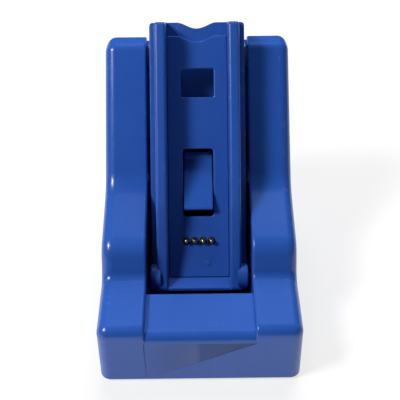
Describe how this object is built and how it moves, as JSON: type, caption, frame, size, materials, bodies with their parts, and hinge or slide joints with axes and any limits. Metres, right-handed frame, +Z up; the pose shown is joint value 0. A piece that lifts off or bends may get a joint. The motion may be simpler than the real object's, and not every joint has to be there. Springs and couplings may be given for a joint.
{
  "type": "desk charging cradle",
  "caption": "Small desk charging cradle: two-cheeked gloss housing, rocking tilted channel with sprung contacts, ramp catch and window.",
  "frame": {"origin": "centre of the object's box in plan, on the surface that it stands on", "axes": "+X to the object's right seen from the front, +Y from the low front towards the rear, +Z up"},
  "size_m": [0.058, 0.0816, 0.0769],
  "materials": {
    "shell": "glossy moulded royal blue",
    "channel": "satin gloss moulded royal blue",
    "base": "fine textured black",
    "pads": "matt black",
    "steel": "plain plated steel",
    "board": "green solder mask",
    "chip": "matt black",
    "header": "off-white nylon",
    "lead": "soft black jacket",
    "barrels": "turned brass",
    "contacts": "polished gold plate over brass"
  },
  "bodies": {
    "housing": {"base_plate": "base", "base_screw_front_left": "steel", "base_screw_front_right": "steel", "base_screw_rear_left": "steel", "base_screw_rear_right": "steel", "board_screw_left": "steel", "board_screw_right": "steel", "charge_controller": "chip", "foot_pad_front_left": "pads", "foot_pad_front_right": "pads", "foot_pad_rear_left": "pads", "foot_pad_rear_right": "pads", "housing_shell": "shell", "inlet_shell": "steel", "inlet_tongue": "chip", "inner_lead": "lead", "lead_header": "header", "pivot_pin_left": "steel", "pivot_pin_right": "steel", "power_board": "board", "return_spring": "steel"},
    "cradle": {"cradle_channel": "channel", "contact_plate": "channel", "contact_block": "base", "contact_board": "board", "catch_pin": "steel", "catch_spring": "steel", "mechanism_cover": "base", "cover_screw_left": "steel", "cover_screw_right": "steel", "contact_barrel_1": "barrels", "contact_barrel_2": "barrels", "contact_barrel_3": "barrels", "contact_barrel_4": "barrels", "contact_spring_1": "steel", "contact_spring_2": "steel", "contact_spring_3": "steel", "contact_spring_4": "steel"},
    "catch": {"catch_lever": "shell"},
    "contact_1": {"contact_pin_1": "contacts"},
    "contact_2": {"contact_pin_2": "contacts"},
    "contact_3": {"contact_pin_3": "contacts"},
    "contact_4": {"contact_pin_4": "contacts"}
  },
  "joints": [
    {"name": "cradle_tilt", "type": "hinge", "parent": "housing", "child": "cradle", "pos_m": [0, -0.01492, 0.01634], "axis": [-1, 0, 0], "range_deg": [0, 3], "stiffness_Nm_per_rad": 2, "springref_deg": -3.44, "deforming": ["return_spring"]},
    {"name": "catch_press", "type": "hinge", "parent": "cradle", "child": "catch", "pos_m": [0, 0.01445, 0.03875], "axis": [1, 0, 0], "range_deg": [0, 11], "stiffness_Nm_per_rad": 0.04, "springref_deg": -5.73, "deforming": ["catch_spring"]},
    {"name": "contact_press_1", "type": "slide", "parent": "cradle", "child": "contact_1", "axis": [0, 0.7534, -0.6575], "range_m": [0, 0.0012], "stiffness_N_per_m": 700, "springref_m": -0.0005, "deforming": ["contact_spring_1"]},
    {"name": "contact_press_2", "type": "slide", "parent": "cradle", "child": "contact_2", "axis": [0, 0.7534, -0.6575], "range_m": [0, 0.0012], "stiffness_N_per_m": 700, "springref_m": -0.0005, "deforming": ["contact_spring_2"]},
    {"name": "contact_press_3", "type": "slide", "parent": "cradle", "child": "contact_3", "axis": [0, 0.7534, -0.6575], "range_m": [0, 0.0012], "stiffness_N_per_m": 700, "springref_m": -0.0005, "deforming": ["contact_spring_3"]},
    {"name": "contact_press_4", "type": "slide", "parent": "cradle", "child": "contact_4", "axis": [0, 0.7534, -0.6575], "range_m": [0, 0.0012], "stiffness_N_per_m": 700, "springref_m": -0.0005, "deforming": ["contact_spring_4"]}
  ]
}
